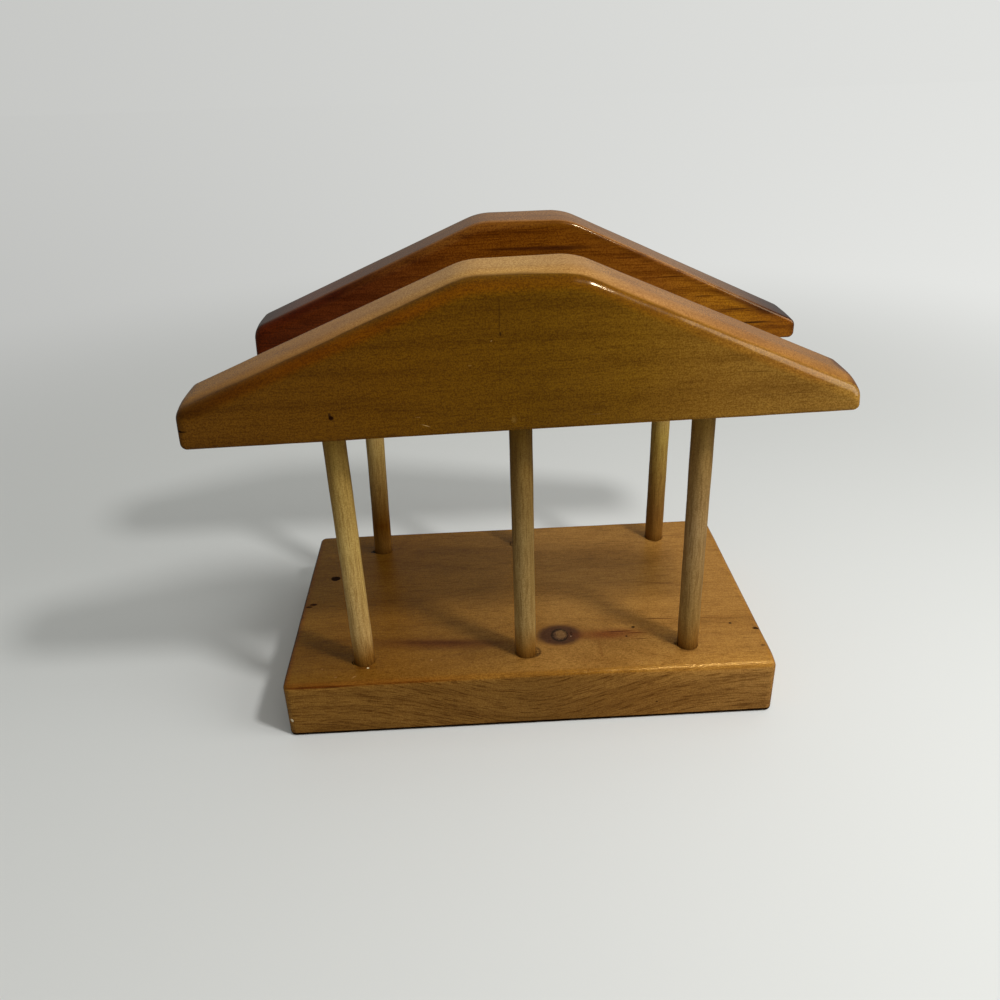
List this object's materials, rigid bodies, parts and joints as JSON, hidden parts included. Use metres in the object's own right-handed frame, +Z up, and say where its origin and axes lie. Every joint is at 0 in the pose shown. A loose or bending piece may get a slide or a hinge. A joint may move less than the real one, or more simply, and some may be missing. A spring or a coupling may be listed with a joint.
{
  "type": "napkin holder",
  "caption": "Upright wooden napkin holder: a flat base board, two rows of glued dowels and two gabled boards with an open slot for folded napkins between them.",
  "frame": {"origin": "middle of the base's underside, which rests on the table", "axes": "+X from the left end to the right end as seen from the front, +Y from the front board to the back board, +Z up"},
  "size_m": [0.1804, 0.088, 0.1377],
  "materials": {
    "base_pine": "satin amber varnish over knotty pine",
    "dowel_birch": "bare fine-grained birch, lightly sealed",
    "front_board_wood": "satin olive-brown varnish",
    "back_board_wood": "satin red-brown varnish"
  },
  "bodies": {
    "root": {"base": "base_pine", "front_left_dowel": "dowel_birch", "front_middle_dowel": "dowel_birch", "front_right_dowel": "dowel_birch", "back_left_dowel": "dowel_birch", "back_middle_dowel": "dowel_birch", "back_right_dowel": "dowel_birch", "front_board": "front_board_wood", "back_board": "back_board_wood"}
  },
  "joints": []
}
